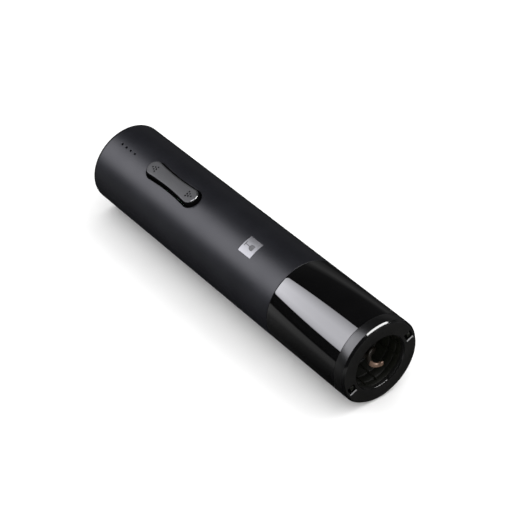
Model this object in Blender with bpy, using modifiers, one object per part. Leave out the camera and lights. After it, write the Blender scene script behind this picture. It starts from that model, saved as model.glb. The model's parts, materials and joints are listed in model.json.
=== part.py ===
"""Cordless electric wine opener, lying on its side.

A long round body holds a smoked window and a mouth ring at one end. The bottle's neck goes into the mouth, and a
worm on a geared motor screws into the cork and lifts it into the window. A rocker button runs the motor each way.

World frame: +X points out of the mouth, +Z is up, and the floor is z = 0 under the middle of the body.
Lengths are in millimetres and are scaled to metres as each shape is made. Most pieces are drawn on the opener's
own axis, where z is the distance from the mouth's face and x points to the button.
"""
import bmesh
import bpy
import math
from mathutils import Matrix, Vector

MM = 0.001
GAP = 0.3                       # clearance between pieces that rest on each other

BODY_LENGTH = 223.0
BODY_RADIUS = 24.5
BODY_WALL = 2.2
ROLL = math.radians(24.3)       # how far the button leans from straight up
SHELL_SIDES = 28                # flats round the shells, one of which lies on the floor

COLLAR_END = 7.4                # mouth ring, then the window, then the body, by distance from the mouth
WINDOW_END = 62.0
WINDOW_WALL = 1.5
MOUTH_RADIUS = 15.7
THROAT_RADIUS = 13.3            # just wider than a cork
LIP_STOP = 20.0                 # how far a bottle's neck goes in
SLOT_RADII = (18.3, 21.8)
SLOT_WIDTH = 5.0

WORM_TIP = 1.0                  # from the mouth face, and how far round from the button the tip starts
WORM_START_TURN = math.radians(148)
WORM_PITCH = 9.5
WORM_RADIUS = 3.3               # of the wire's centre line
WORM_WIRE = 1.35
HUB_FRONT = 66.0
HUB_REAR = 74.5
SHAFT_RADIUS = 3.0
BULKHEAD = 76.5

GEAR_MODULE = 0.7
SUN_TEETH = 12
PLANET_TEETH = 15
RING_TEETH = 42
PLANETS = 3
PRESSURE_ANGLE = math.radians(20)
TOOTH_SLACK = 0.1
GEAR_FACE = 4.0
STAGE_PITCH = 7.1               # from one stage's planets to the next
OUTPUT_PLANETS = 92.3           # front of the last stage's planets
GEARBOX_RADIUS = 17.3
GEARBOX_FRONT = 86.8
GEARBOX_REAR = 113.0
PLATE = 2.0                     # thickness of carriers and end plates
PIN_RADIUS = 1.0

MOTOR_RADIUS = 12.2
MOTOR_FRONT = 115.6
MOTOR_REAR = 146.5
MOTOR_SHAFT = 1.0

CHASSIS_RADIUS = 22.0
CHASSIS_WALL = 1.5
CHASSIS_FRONT = 84.4
CHASSIS_REAR = 214.5
CHASSIS_SPLIT = 141.5           # past this the lower half rises to the board

CELL_RADIUS = 7.0
CELL_LENGTH = 50.0
CELL_FRONT = 154.0
CELL_DROP = 3.2                 # below the opener's axis
CELL_SIDE = 7.5

BOARD_UNDERSIDE = 13.4
BOARD_THICKNESS = 1.6
BOARD_HALF_WIDTH = 16.2
BOARD_FRONT = 142.0

BUTTON_CENTRE = 163.8
BUTTON_LENGTH = 42.9
BUTTON_END_WIDTH = 4.85         # half widths
BUTTON_WAIST = 4.0
BUTTON_TOP = BODY_RADIUS + 2.6
BUTTON_UNDERSIDE = 21.0
BUTTON_REVEAL = 0.65            # gap round the button, then the bezel's wall
BEZEL_WALL = 0.6
PIVOT_HEIGHT = 20.9             # of the rocker's pin, from the opener's axis
FOOT_OFFSET = 15.5
SWITCH_TOP = 18.6
PLUNGER_TOP = 19.7

LIGHTS = (201.0, 205.13, 209.27, 213.4)
LIGHT_RADIUS = 0.55
BADGE_CENTRE = 93.35
BADGE_ASIDE = -0.85             # to the left of the button, seen from the mouth
BADGE_DEPTH = 0.6
BADGE_SIDE = 10.2

PLANET_CIRCLE = GEAR_MODULE * (SUN_TEETH + PLANET_TEETH) / 2
BOARD_TOP = BOARD_UNDERSIDE + BOARD_THICKNESS


# ---- scene, materials and the two frames ----

def clear_scene():
    for thing in list(bpy.data.objects):
        bpy.data.objects.remove(thing, do_unlink=True)


def new_collection(name):
    made = bpy.data.collections.new(name)
    bpy.context.scene.collection.children.link(made)
    return made


def finish(name, colour, roughness, metallic=0.0):
    made = bpy.data.materials.new(name)
    made.use_nodes = True
    shader = made.node_tree.nodes["Principled BSDF"]
    shader.inputs["Base Color"].default_value = (*colour, 1.0)
    shader.inputs["Roughness"].default_value = roughness
    shader.inputs["Metallic"].default_value = metallic
    return made


def frame(name, location, rotation, parent=None):
    """An empty. Its rotation is (about X, about Y), and Y is turned first."""
    made = bpy.data.objects.new(name, None)
    made.rotation_mode = "YXZ"
    made.location = [value * MM for value in location]
    made.rotation_euler = (rotation[0], rotation[1], 0.0)
    made.parent = parent
    opener.objects.link(made)
    return made


clear_scene()
opener = new_collection("wine_opener")
cutters = new_collection("cutters")
axis = frame("opener_axis", (BODY_LENGTH / 2, 0, BODY_RADIUS), (ROLL, -math.pi / 2))
switch = frame("rocker_pivot", (PIVOT_HEIGHT, 0, BUTTON_CENTRE), (0, math.pi / 2), axis)

SATIN_BLACK = finish("satin_black_plastic", (0.03, 0.03, 0.033), 0.42)
SMOKED = finish("smoked_window_plastic", (0.012, 0.012, 0.013), 0.06)
SOFT_BLACK = finish("body_soft_touch_plastic", (0.022, 0.023, 0.026), 0.5)
GLOSS_BLACK = finish("gloss_black_plastic", (0.008, 0.008, 0.009), 0.12)
BUTTON_GREY = finish("button_grey_plastic", (0.08, 0.08, 0.083), 0.5)
LIGHT_CLEAR = finish("clear_light_pipe_plastic", (0.75, 0.77, 0.8), 0.25)
SILVER = finish("badge_silver", (0.6, 0.6, 0.62), 0.3, 1.0)
CHASSIS_GREY = finish("chassis_plastic", (0.12, 0.12, 0.125), 0.6)
WHITE_PLASTIC = finish("gear_acetal_plastic", (0.78, 0.77, 0.73), 0.45)
STEEL = finish("steel", (0.55, 0.55, 0.56), 0.3, 1.0)
COATED = finish("coated_worm_steel", (0.09, 0.06, 0.045), 0.35, 0.6)
BRONZE = finish("bronze", (0.6, 0.4, 0.2), 0.35, 1.0)
RUBBER = finish("black_rubber", (0.02, 0.02, 0.02), 0.8)
COPPER = finish("winding_copper", (0.5, 0.2, 0.1), 0.4, 1.0)
FERRITE = finish("magnet_ferrite", (0.1, 0.1, 0.1), 0.7)
BOARD_GREEN = finish("board_laminate", (0.03, 0.2, 0.08), 0.5)
CELL_WRAP = finish("cell_wrap", (0.03, 0.12, 0.35), 0.3)
RED_WIRE = finish("red_lead_insulation", (0.5, 0.03, 0.02), 0.4)
BLACK_WIRE = finish("black_lead_insulation", (0.02, 0.02, 0.02), 0.4)


# ---- shapes ----

def add(name, mesh, look, parent, place=(0, 0, 0)):
    """Put a mesh in the opener, or with no look in the cutters."""
    made = bpy.data.objects.new(name, mesh)
    made.parent = parent
    made.location = [value * MM for value in place]
    if look:
        mesh.materials.append(look)
        opener.objects.link(made)
    else:
        made.hide_render = True
        made.display_type = "WIRE"
        cutters.objects.link(made)
    return made


def turned(name, profile, look, sides=SHELL_SIDES, parent=axis, place=(0, 0, 0)):
    """A turned solid. Each point is (radius across the flats, distance along the axis)."""
    ends = profile[1:] + profile[:1]
    if sum(a[0] * b[1] - b[0] * a[1] for a, b in zip(profile, ends)) > 0:
        profile = profile[::-1]
    start = math.pi + ROLL + math.pi / sides
    across = 1 / math.cos(math.pi / sides)
    turn = Matrix.Rotation(start, 3, "Z")
    points = [turn @ Vector((radius * across, 0, along)) * MM for radius, along in profile]
    edges = [(i, i + 1) for i in range(len(points) - 1)]
    if min(radius for radius, along in profile) > 0:
        edges.append((len(points) - 1, 0))
    mesh = bpy.data.meshes.new(name)
    mesh.from_pydata(points, edges, [])
    made = add(name, mesh, look, parent, place)
    screw = made.modifiers.new("turn", "SCREW")
    screw.steps = sides
    screw.render_steps = sides
    screw.use_merge_vertices = True
    screw.merge_threshold = 0.00001
    return made


def ring(name, inner, outer, low, high, look, sides=SHELL_SIDES, place=(0, 0, 0)):
    profile = [(outer, high), (outer, low), (inner, low), (inner, high)]
    return turned(name, profile, look, sides, place=place)


def box(name, low, high, look=None, parent=axis):
    mesh = bpy.data.meshes.new(name)
    shape = bmesh.new()
    size = [(b - a) * MM for a, b in zip(low, high)]
    centre = [(a + b) / 2 * MM for a, b in zip(low, high)]
    bmesh.ops.create_cube(shape, size=1.0, matrix=Matrix.LocRotScale(centre, None, size))
    shape.to_mesh(mesh)
    shape.free()
    return add(name, mesh, look, parent)


def rod(name, radius, start, end, look=None, sides=16, parent=axis):
    """A cylinder from one point to another."""
    start, end = Vector(start) * MM, Vector(end) * MM
    turn = (end - start).to_track_quat("Z", "Y").to_matrix().to_4x4()
    mesh = bpy.data.meshes.new(name)
    shape = bmesh.new()
    bmesh.ops.create_cone(
        shape, cap_ends=True, segments=sides, radius1=radius * MM, radius2=radius * MM,
        depth=(end - start).length, matrix=Matrix.Translation((start + end) / 2) @ turn)
    shape.to_mesh(mesh)
    shape.free()
    return add(name, mesh, look, parent)


def made_mesh(name, curve):
    """The closed mesh of a curve, with its caps welded."""
    shape = bpy.data.objects.new(name, curve)
    bpy.context.scene.collection.objects.link(shape)
    seen = bpy.context.evaluated_depsgraph_get()
    mesh = bpy.data.meshes.new_from_object(shape.evaluated_get(seen))
    bpy.data.objects.remove(shape)
    work = bmesh.new()
    work.from_mesh(mesh)
    bmesh.ops.remove_doubles(work, verts=work.verts, dist=1e-6)
    bmesh.ops.recalc_face_normals(work, faces=work.faces)
    work.to_mesh(mesh)
    work.free()
    return mesh


def flat_solid(name, outlines, low, high, look, parent=axis, place=(0, 0, 0)):
    """Flat outlines, of which the later ones are holes, from one height to another."""
    curve = bpy.data.curves.new(name, "CURVE")
    curve.dimensions = "2D"
    curve.fill_mode = "BOTH"
    curve.extrude = (high - low) / 2 * MM
    for outline in outlines:
        spline = curve.splines.new("POLY")
        spline.points.add(len(outline) - 1)
        spline.use_cyclic_u = True
        for point, (x, y) in zip(spline.points, outline):
            point.co = (x * MM, y * MM, 0, 1)
    mesh = made_mesh(name, curve)
    mesh.transform(Matrix.Translation((0, 0, (low + high) / 2 * MM)))
    return add(name, mesh, look, parent, place)


def wire(name, points, radius, look, tip=1.0):
    """A round wire through the points. It narrows to the given share over the first of them."""
    curve = bpy.data.curves.new(name, "CURVE")
    curve.dimensions = "3D"
    curve.bevel_depth = radius * MM
    curve.bevel_resolution = 1
    curve.use_fill_caps = True
    spline = curve.splines.new("POLY")
    spline.points.add(len(points) - 1)
    taper = 2
    for i, (point, where) in enumerate(zip(spline.points, points)):
        point.co = (*[value * MM for value in where], 1)
        point.radius = min(1.0, tip + (1 - tip) * i / taper)
    return add(name, made_mesh(name, curve), look, axis)


def combine(target, tool, operation):
    change = target.modifiers.new(tool.name, "BOOLEAN")
    change.operation = operation
    change.solver = "EXACT"
    change.object = tool


def circle(radius, sides):
    turns = [math.tau * i / sides for i in range(sides)]
    return [(radius * math.cos(t), radius * math.sin(t)) for t in turns]


# ---- mouth, window and body ----

def mouth_collar():
    """The ring at the mouth, with a chamfered rim, a spigot inside the window and two latch slots."""
    spigot = BODY_RADIUS - WINDOW_WALL - GAP
    collar = turned("mouth_collar", [
        (BODY_RADIUS, COLLAR_END), (BODY_RADIUS, 1.47), (BODY_RADIUS - 1.15, 0), (MOUTH_RADIUS + 0.5, 0),
        (MOUTH_RADIUS, 0.5), (MOUTH_RADIUS, 2.4), (spigot - 1.3, 2.4), (spigot - 1.3, 12), (spigot, 12),
        (spigot, COLLAR_END)], SATIN_BLACK)
    for name, side in (("slot_cutter_1", 1), ("slot_cutter_2", -1)):
        reach = sorted(side * radius for radius in SLOT_RADII)
        slot = box(name, (-SLOT_WIDTH / 2, reach[0], -1), (SLOT_WIDTH / 2, reach[1], 2.8))
        combine(collar, slot, "DIFFERENCE")
    notch = rod("notch_cutter", 0.9, (-MOUTH_RADIUS, 0, -1), (-MOUTH_RADIUS, 0, 3), sides=12)
    combine(collar, notch, "DIFFERENCE")


def bottle_guide():
    """The funnel for the neck, its stop and the throat behind it, held by two latches in the collar's slots."""
    flange = BODY_RADIUS - WINDOW_WALL - GAP
    guide = turned("bottle_guide", [
        (17.3, 2.7), (17.3, 12.3), (flange, 12.3), (flange, 13.8), (17.3, 13.8), (17.3, 21.5), (14.9, 23.5),
        (14.9, 30), (THROAT_RADIUS, 30), (THROAT_RADIUS, LIP_STOP), (15.3, LIP_STOP), (15.9, 2.7)], SATIN_BLACK)
    for name, side in (("latch_tool_1", 1), ("latch_tool_2", -1)):
        reach = sorted(side * radius for radius in (18.9, 21.1))
        latch = box(name, (-1.8, reach[0], 0.4), (1.8, reach[1], 13))
        combine(guide, latch, "UNION")
    ring("bottle_seat_ring", 13.6, 15.0, LIP_STOP - 1.8, LIP_STOP - GAP, RUBBER)


def window_tube():
    """The smoked tube, with a neck that plugs into the body."""
    inner = BODY_RADIUS - WINDOW_WALL
    neck = BODY_RADIUS - BODY_WALL - GAP
    turned("window_tube", [
        (BODY_RADIUS, WINDOW_END - 0.15), (BODY_RADIUS, COLLAR_END + 0.15), (inner, COLLAR_END + 0.15),
        (inner, 58), (neck - 1.4, 60), (neck - 1.4, 66.5), (neck, 66.5), (neck, WINDOW_END - 0.15)], SMOKED)


def housing_tube():
    """The body tube, with openings for the switch, the charge lights and the badge."""
    inner = BODY_RADIUS - BODY_WALL
    tube = turned("housing_tube", [
        (BODY_RADIUS - 0.4, BODY_LENGTH), (BODY_RADIUS, BODY_LENGTH - 0.4), (BODY_RADIUS, WINDOW_END + 0.15),
        (inner, WINDOW_END + 0.15), (inner, BODY_LENGTH)], SOFT_BLACK)
    opening = button_outline(BUTTON_REVEAL + BEZEL_WALL + GAP)
    combine(tube, flat_solid("switch_cutter", [opening], -4, 8, None, switch), "DIFFERENCE")
    for i, along in enumerate(LIGHTS, 1):
        hole = rod(f"light_cutter_{i}", LIGHT_RADIUS + GAP, (20, 0, along), (27, 0, along), sides=12)
        combine(tube, hole, "DIFFERENCE")
    half = BADGE_SIDE / 2 + GAP
    recess = box("badge_cutter", (BODY_RADIUS - 1.5, BADGE_ASIDE - half, BADGE_CENTRE - half),
                 (27, BADGE_ASIDE + half, BADGE_CENTRE + half))
    combine(tube, recess, "DIFFERENCE")


def badge_plate():
    """A thin curved plate set flush in the body, with no mark on it."""
    plate = ring("badge_plate", BODY_RADIUS - BADGE_DEPTH, BODY_RADIUS, BADGE_CENTRE - 6, BADGE_CENTRE + 6, SILVER)
    half = BADGE_SIDE / 2
    block = box("badge_tool", (20, BADGE_ASIDE - half, BADGE_CENTRE - half),
                (27, BADGE_ASIDE + half, BADGE_CENTRE + half))
    combine(plate, block, "INTERSECT")


def rear_cap():
    """The end cap, a disc with a skirt, cut through for the charging socket."""
    edge = BODY_RADIUS - BODY_WALL - GAP
    face = BODY_LENGTH - GAP
    cap = turned("rear_cap", [
        (0, face), (edge, face), (edge, 215), (edge - 1.4, 215), (edge - 1.4, face - PLATE), (0, face - PLATE)],
        SATIN_BLACK)
    slot = box("port_cutter", (BOARD_TOP, -4.9, 219), (BOARD_TOP + 3.9, 4.9, 225))
    combine(cap, slot, "DIFFERENCE")


# ---- worm and its shaft ----

def worm_drive():
    """The worm, its hub, the output shaft, and the bulkhead, bush and seal that the shaft turns in."""
    rise = HUB_FRONT - GAP - WORM_WIRE - WORM_TIP
    steps = round(rise / WORM_PITCH * 10)
    points = []
    for i in range(steps + 1):
        along = rise * i / steps
        turn = WORM_START_TURN + math.tau * along / WORM_PITCH
        points.append((WORM_RADIUS * math.cos(turn), WORM_RADIUS * math.sin(turn), WORM_TIP + along))
    wire("worm", points, WORM_WIRE, COATED, tip=0.15)
    bore = SHAFT_RADIUS + GAP
    turned("worm_hub", [
        (0, HUB_FRONT), (5.6, HUB_FRONT), (7.0, HUB_FRONT + 2), (7.0, HUB_REAR), (bore, HUB_REAR),
        (bore, HUB_FRONT + 3), (0, HUB_FRONT + 3)], GLOSS_BLACK, sides=20)
    turned("output_shaft", [
        (0, HUB_FRONT + 3.3), (SHAFT_RADIUS, HUB_FRONT + 3.3), (SHAFT_RADIUS, 91.5), (0, 91.5)], STEEL, sides=20)
    ring("shaft_seal", SHAFT_RADIUS + 0.1, 8.0, HUB_REAR + 0.4, BULKHEAD - GAP, RUBBER, sides=20)
    ring("shaft_bush", SHAFT_RADIUS + 0.1, 6.0, BULKHEAD + 0.2, 83.8, BRONZE, sides=20)
    turned("front_bulkhead", [
        (CHASSIS_RADIUS, BULKHEAD), (CHASSIS_RADIUS, 84), (20.5, 84), (20.5, BULKHEAD + 2.5),
        (9.5, BULKHEAD + 2.5), (9.5, 84), (6 + GAP, 84), (6 + GAP, BULKHEAD)], CHASSIS_GREY)


# ---- gearbox ----

def toothed(teeth, tip, root, slack):
    """The outline of a spur gear with involute flanks and one tooth on the x axis."""
    pitch = GEAR_MODULE * teeth / 2
    base = pitch * math.cos(PRESSURE_ANGLE)

    def half_angle(radius):
        angle = math.acos(min(1.0, base / radius))
        roll = math.tan(PRESSURE_ANGLE) - PRESSURE_ANGLE - math.tan(angle) + angle
        return math.pi / 2 / teeth - slack / 2 / pitch + roll

    outline = []
    for i in range(teeth):
        middle = math.tau * i / teeth
        for side, radii in ((-1, (root, pitch, tip)), (1, (tip, pitch, root))):
            for radius in radii:
                turn = middle + side * half_angle(radius)
                outline.append((radius * math.cos(turn), radius * math.sin(turn)))
    return outline


def sun_outline():
    pitch = GEAR_MODULE * SUN_TEETH / 2
    return toothed(SUN_TEETH, pitch + 0.56, pitch - 0.8, TOOTH_SLACK)


def planet_gears(stage, low):
    """Three planets on one circle, each turned so that a tooth points outwards."""
    pitch = GEAR_MODULE * PLANET_TEETH / 2
    outline = toothed(PLANET_TEETH, pitch + 0.56, pitch - 0.8, TOOTH_SLACK)
    for i in range(PLANETS):
        turn = math.tau * i / PLANETS
        place = (PLANET_CIRCLE * math.cos(turn), PLANET_CIRCLE * math.sin(turn), 0)
        bore = circle(PIN_RADIUS + 0.15, 10)
        gear = flat_solid(f"planet_gear_{stage}{'abc'[i]}", [outline, bore], low, low + GEAR_FACE,
                          WHITE_PLASTIC, place=place)
        gear.rotation_euler.z = turn


def gearbox():
    """Three planetary stages in one toothed ring. The motor drives the rear stage, the front one drives the worm."""
    pitch = GEAR_MODULE * RING_TEETH / 2
    teeth = toothed(RING_TEETH, pitch + 0.8, pitch - 0.455, -TOOTH_SLACK)
    flat_solid("gearbox_ring", [circle(GEARBOX_RADIUS, 36), teeth], GEARBOX_FRONT, GEARBOX_REAR, WHITE_PLASTIC)
    ring("gearbox_cover", SHAFT_RADIUS + 0.6, GEARBOX_RADIUS, GEARBOX_FRONT - GAP - PLATE, GEARBOX_FRONT - GAP,
         CHASSIS_GREY, sides=24)
    for stage, steps in ((3, 0), (2, 1), (1, 2)):
        planet_gears(stage, OUTPUT_PLANETS + steps * STAGE_PITCH)
    rear = OUTPUT_PLANETS - 0.4
    boss = ring("output_boss_tool", SHAFT_RADIUS + GAP, 6.5, GEARBOX_FRONT + 0.2, rear, None, sides=20)
    output = ring("output_carrier", SHAFT_RADIUS + GAP, 13.2, rear - 2.4, rear, WHITE_PLASTIC, sides=24)
    combine(output, boss, "UNION")
    add_pins(output, rear)
    for stage, steps in ((2, 1), (1, 2)):
        rear = OUTPUT_PLANETS + steps * STAGE_PITCH - 0.4
        front = rear - PLATE
        disc = turned(f"carrier_{stage}", [(0, rear), (13.2, rear), (13.2, front), (0, front)], WHITE_PLASTIC,
                      sides=24)
        sun = flat_solid(f"sun_tool_{stage}", [sun_outline()], front - 4.8, front + 1, None)
        combine(disc, sun, "UNION")
        add_pins(disc, rear)


def add_pins(disc, rear):
    """Three pins behind a carrier's disc, one for each planet."""
    for i in range(PLANETS):
        turn = math.tau * i / PLANETS
        x, y = PLANET_CIRCLE * math.cos(turn), PLANET_CIRCLE * math.sin(turn)
        name = f"{disc.name}_pin_{i + 1}"
        pin = rod(name, PIN_RADIUS, (x, y, rear - 1), (x, y, rear + GEAR_FACE + 0.8), sides=10)
        combine(disc, pin, "UNION")


# ---- motor ----

def motor():
    """A small can motor: its plate and screws, the can with two magnets, and the rotor with its pinion."""
    ring("motor_plate", 4.6, GEARBOX_RADIUS, GEARBOX_REAR + GAP, GEARBOX_REAR + GAP + PLATE, STEEL, sides=24)
    plate = bpy.data.objects["motor_plate"]
    can = turned("motor_can", [
        (MOTOR_RADIUS, MOTOR_FRONT), (MOTOR_RADIUS, MOTOR_REAR), (MOTOR_RADIUS - 1, MOTOR_REAR),
        (MOTOR_RADIUS - 1, MOTOR_FRONT + 1), (1.5, MOTOR_FRONT + 1), (1.5, MOTOR_FRONT - 2),
        (4.3, MOTOR_FRONT - 2), (4.3, MOTOR_FRONT)], STEEL, sides=24)
    for i, side in enumerate((8, -8), 1):
        hole = rod(f"motor_screw_cutter_{i}", 1.5, (side, 0, GEARBOX_REAR), (side, 0, MOTOR_FRONT + 2), sides=10)
        combine(plate, hole, "DIFFERENCE")
        combine(can, hole, "DIFFERENCE")
        head = GEARBOX_REAR - 1.1
        turned(f"motor_screw_{i}", [(0, head), (2, head), (2, head + 1.1), (1.15, head + 1.1),
                                    (1.15, head + 5.5), (0, head + 5.5)], STEEL, sides=10, place=(side, 0, 0))
    for i, side in enumerate((1, -1), 1):
        magnet = ring(f"motor_magnet_{i}", 9.4, MOTOR_RADIUS - 1 - GAP, 119, 143, FERRITE, sides=24)
        reach = sorted((side * 3.5, side * 14))
        block = box(f"magnet_tool_{i}", (-14, reach[0], 118), (14, reach[1], 144))
        combine(magnet, block, "INTERSECT")
    turned("armature", [
        (8.9, 120), (8.9, 137), (7.2, 139.5), (3.2, 141), (3.2, 145.5), (1.2, 145.5), (1.2, 120)], COPPER, sides=24)
    core = bpy.data.objects["armature"]
    for i in range(3):
        slot = box(f"armature_slot_{i + 1}", (5.5, -0.9, 119), (10, 0.9, 142))
        slot.rotation_euler.z = math.tau * i / 3
        combine(core, slot, "DIFFERENCE")
    rod("motor_shaft", MOTOR_SHAFT, (0, 0, 106.5), (0, 0, 149), STEEL, sides=12)
    flat_solid("motor_pinion", [sun_outline(), circle(MOTOR_SHAFT + 0.12, 12)], 106.4, 111, BRONZE)
    cap = ring("motor_end_cap", 1.3, MOTOR_RADIUS, MOTOR_REAR + GAP, MOTOR_REAR + GAP + 2.4, GLOSS_BLACK, sides=24)
    for i, side in enumerate((5, -5), 1):
        tab = box(f"terminal_tool_{i}", (6.7, side - 1.2, MOTOR_REAR + 1), (7.3, side + 1.2, MOTOR_REAR + 5.7))
        combine(cap, tab, "UNION")


# ---- chassis, cells and board ----

def chassis():
    """Two half shells, screwed together round the gearbox and motor. The lower one goes on to hold the cells."""
    inner = CHASSIS_RADIUS - CHASSIS_WALL
    lower = turned("chassis_lower", [
        (CHASSIS_RADIUS, CHASSIS_FRONT), (CHASSIS_RADIUS, CHASSIS_REAR), (inner, CHASSIS_REAR), (inner, 192),
        (4, 192), (4, 190), (inner, 190), (inner, 167), (4, 167), (4, 165), (inner, 165), (inner, 133),
        (MOTOR_RADIUS + GAP, 133), (MOTOR_RADIUS + GAP, 129), (inner, 129), (inner, 102),
        (GEARBOX_RADIUS + GAP, 102), (GEARBOX_RADIUS + GAP, 98), (inner, 98), (inner, CHASSIS_FRONT)], CHASSIS_GREY)
    upper = turned("chassis_upper", [
        (CHASSIS_RADIUS, CHASSIS_FRONT), (CHASSIS_RADIUS, 140), (inner, 140), (inner, 133),
        (MOTOR_RADIUS + GAP, 133), (MOTOR_RADIUS + GAP, 129), (inner, 129), (inner, 102),
        (GEARBOX_RADIUS + GAP, 102), (GEARBOX_RADIUS + GAP, 98), (inner, 98), (inner, CHASSIS_FRONT)], CHASSIS_GREY)
    combine(lower, box("lower_front_cutter", (-0.15, -30, 80), (30, 30, CHASSIS_SPLIT)), "DIFFERENCE")
    combine(lower, box("lower_board_cutter", (BOARD_UNDERSIDE - GAP, -30, 140), (30, 30, 220)), "DIFFERENCE")
    combine(lower, box("cell_bay_cutter", (-CELL_DROP, -14.8, 143), (14, 14.8, 213)), "DIFFERENCE")
    combine(upper, box("upper_cutter", (-30, -30, 80), (0.15, 30, 145)), "DIFFERENCE")
    for i, side in enumerate((CELL_SIDE, -CELL_SIDE), 1):
        seat = rod(f"cell_cutter_{i}", CELL_RADIUS + GAP, (-CELL_DROP, side, 160), (-CELL_DROP, side, 200), sides=24)
        combine(lower, seat, "DIFFERENCE")
    spots = [(19.2, 100), (-19.2, 100), (16.5, 131), (-16.5, 131)]
    for i, (side, along) in enumerate(spots, 1):
        hole = rod(f"screw_cutter_{i}", 1.15, (-7, side, along), (8, side, along), sides=10)
        head = rod(f"head_cutter_{i}", 1.8, (5.2, side, along), (24, side, along), sides=12)
        combine(lower, hole, "DIFFERENCE")
        combine(upper, hole, "DIFFERENCE")
        combine(upper, head, "DIFFERENCE")
        screw = turned(f"chassis_screw_{i}", [(0, 7), (1.5, 7), (1.5, 5.5), (0.9, 5.5), (0.9, -6), (0, -6)], STEEL,
                       sides=10, place=(0, side, along))
        screw.rotation_euler.y = math.pi / 2


def cells():
    """Two cells side by side under the board, joined at the front by a nickel strip."""
    for i, side in enumerate((CELL_SIDE, -CELL_SIDE), 1):
        rear = CELL_FRONT + CELL_LENGTH
        turned(f"battery_cell_{i}", [
            (0, CELL_FRONT), (CELL_RADIUS - 0.4, CELL_FRONT), (CELL_RADIUS, CELL_FRONT + 0.4),
            (CELL_RADIUS, rear - 0.4), (CELL_RADIUS - 0.4, rear), (0, rear)], CELL_WRAP, sides=24,
            place=(-CELL_DROP, side, 0))
    box("cell_link", (-CELL_DROP - 2, -9.5, CELL_FRONT - 0.6), (-CELL_DROP + 2, 9.5, CELL_FRONT - 0.3), STEEL)


def board():
    """The control board under the button, with two push switches, the charging socket and the light pipe."""
    box("control_board", (BOARD_UNDERSIDE, -BOARD_HALF_WIDTH, BOARD_FRONT), (BOARD_TOP, BOARD_HALF_WIDTH, 214.5),
        BOARD_GREEN)
    for i, side in enumerate((FOOT_OFFSET, -FOOT_OFFSET), 1):
        along = BUTTON_CENTRE + side
        body = box(f"push_switch_{i}", (BOARD_TOP + GAP, -3, along - 3), (SWITCH_TOP, 3, along + 3), STEEL)
        well = rod(f"plunger_cutter_{i}", 1.75, (SWITCH_TOP - 1.2, 0, along), (SWITCH_TOP + 1, 0, along))
        combine(body, well, "DIFFERENCE")
        rod(f"switch_plunger_{i}", 1.5, (SWITCH_TOP - 0.7, 0, along), (PLUNGER_TOP, 0, along), GLOSS_BLACK)
    socket = box("charging_socket", (BOARD_TOP + GAP, -4.5, 211.5), (BOARD_TOP + 3.6, 4.5, 220.3), STEEL)
    mouth = box("socket_cutter", (BOARD_TOP + 0.7, -4.1, 214), (BOARD_TOP + 3.2, 4.1, 222))
    combine(socket, mouth, "DIFFERENCE")
    pipe = box("light_pipe", (19.6, -1.8, LIGHTS[0] - 2.2), (21, 1.8, CHASSIS_REAR), LIGHT_CLEAR)
    for i, along in enumerate(LIGHTS, 1):
        pin = rod(f"light_pin_{i}", LIGHT_RADIUS, (20.5, 0, along), (BODY_RADIUS, 0, along), sides=10)
        combine(pipe, pin, "UNION")


def leads():
    """The motor's two leads and the cells' two leads, up to the board."""
    underside = BOARD_UNDERSIDE - 0.9
    for name, side, look in (("red", 1, RED_WIRE), ("black", -1, BLACK_WIRE)):
        wire(f"motor_lead_{name}", [
            (7, side * 5, 153), (8.2, side * 5.1, 153.8), (9.6, side * 5.5, 155.2), (10.8, side * 6, 157),
            (11.6, side * 6.3, 159.2), (underside, side * 6.5, 161.5)], 0.6, look)
        wire(f"battery_lead_{name}", [
            (-CELL_DROP, side * 7.5, 205), (-1.6, side * 7.8, 206.2), (1, side * 8.3, 207.2),
            (4.5, side * 9, 208), (8.5, side * 9.6, 208.6), (underside, side * 10, 209)], 0.6, look)


# ---- rocker switch. Here x points to the mouth, y across, and z out from the pivot ----

def button_outline(grow):
    """A long button with round ends and a slightly drawn-in waist, made bigger all round by grow."""
    reach = BUTTON_LENGTH / 2 - BUTTON_END_WIDTH
    steps = 8
    half = []
    for i in range(steps):
        x = -reach + 2 * reach * i / steps
        width = BUTTON_WAIST + (BUTTON_END_WIDTH - BUTTON_WAIST) * (x / reach) ** 2
        half.append((x, -width - grow))
    for i in range(steps):
        turn = -math.pi / 2 + math.pi * i / steps
        radius = BUTTON_END_WIDTH + grow
        half.append((reach + radius * math.cos(turn), radius * math.sin(turn)))
    return half + [(-x, -y) for x, y in half]


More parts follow.
